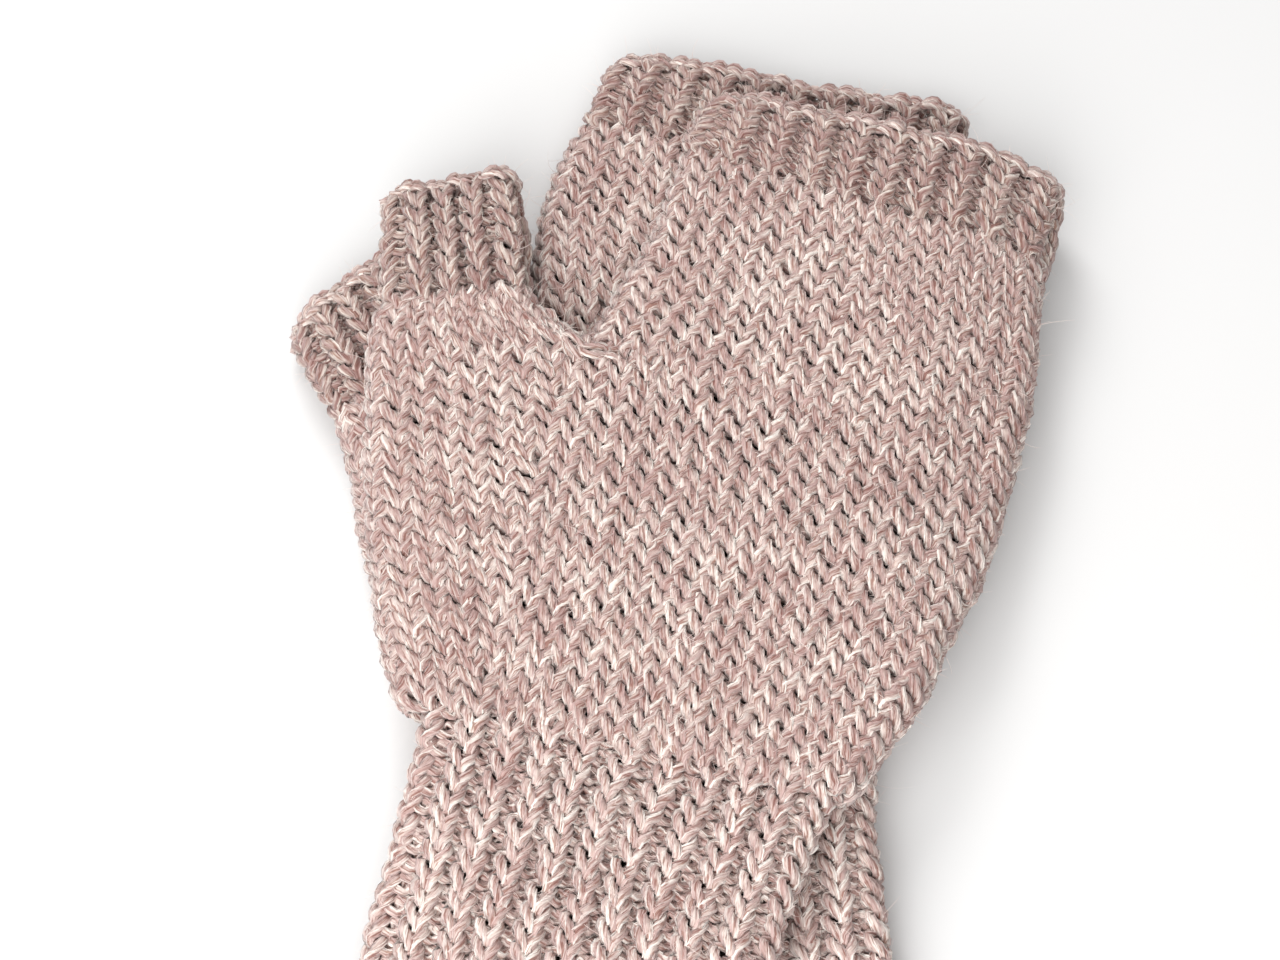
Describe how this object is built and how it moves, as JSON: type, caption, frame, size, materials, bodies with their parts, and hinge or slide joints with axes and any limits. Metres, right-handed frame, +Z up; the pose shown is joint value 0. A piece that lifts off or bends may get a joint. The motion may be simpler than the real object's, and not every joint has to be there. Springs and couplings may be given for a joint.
{
  "type": "fingerless gloves",
  "caption": "Pair of hand-knitted fingerless gloves lying flat, one on the other, with ribbed cuffs, knuckle bands and short thumbs.",
  "frame": {"origin": "below the middle of the pair, on the surface that it lies on", "axes": "+Y along the top glove's hand from wrist to fingers, +X towards its little-finger edge, +Z up"},
  "size_m": [0.1554, 0.2096, 0.0199],
  "materials": {
    "plain_knit": "plain stockinette knitting in a plied dusty-pink and cream marled wool, slightly fuzzy",
    "ribbed_knit": "one-by-one ribbed knitting in the same marled wool, elastic, slightly fuzzy",
    "edge_chain": "cast-on and bind-off chains in the same marled wool"
  },
  "bodies": {
    "under_glove": {"under_cast_on_edge": "edge_chain", "under_wrist_cuff": "ribbed_knit", "under_palm": "plain_knit", "under_crotch_stitches": "edge_chain", "under_finger_tube": "plain_knit", "under_knuckle_band": "ribbed_knit", "under_knuckle_bind_off": "edge_chain"},
    "under_thumb": {"under_thumb_tube": "plain_knit", "under_thumb_band": "ribbed_knit", "under_thumb_bind_off": "edge_chain"},
    "top_glove": {"top_palm": "plain_knit", "top_crotch_stitches": "edge_chain", "top_finger_tube": "plain_knit", "top_knuckle_band": "ribbed_knit", "top_knuckle_bind_off": "edge_chain"},
    "top_cuff": {"top_wrist_cuff": "ribbed_knit", "top_cast_on_edge": "edge_chain"},
    "top_thumb": {"top_thumb_tube": "plain_knit", "top_thumb_band": "ribbed_knit", "top_thumb_bind_off": "edge_chain"}
  },
  "joints": [
    {"name": "top_glove_lift", "type": "slide", "parent": "under_glove", "child": "top_glove", "axis": [0, 0, 1], "range_m": [0, 0.12]},
    {"name": "top_cuff_bend", "type": "hinge", "parent": "top_glove", "child": "top_cuff", "pos_m": [0.01486, -0.04136, 0.0199], "axis": [-0.9945, -0.1045, 0], "range_deg": [0, 60]},
    {"name": "top_thumb_swing", "type": "hinge", "parent": "top_glove", "child": "top_thumb", "pos_m": [-0.0418, 0.029, 0.015], "axis": [0, 0, 1], "range_deg": [-15, 20]},
    {"name": "under_thumb_swing", "type": "hinge", "parent": "under_glove", "child": "under_thumb", "pos_m": [-0.04678, 0.01837, 0.0049], "axis": [0, 0, 1], "range_deg": [-15, 20]}
  ]
}
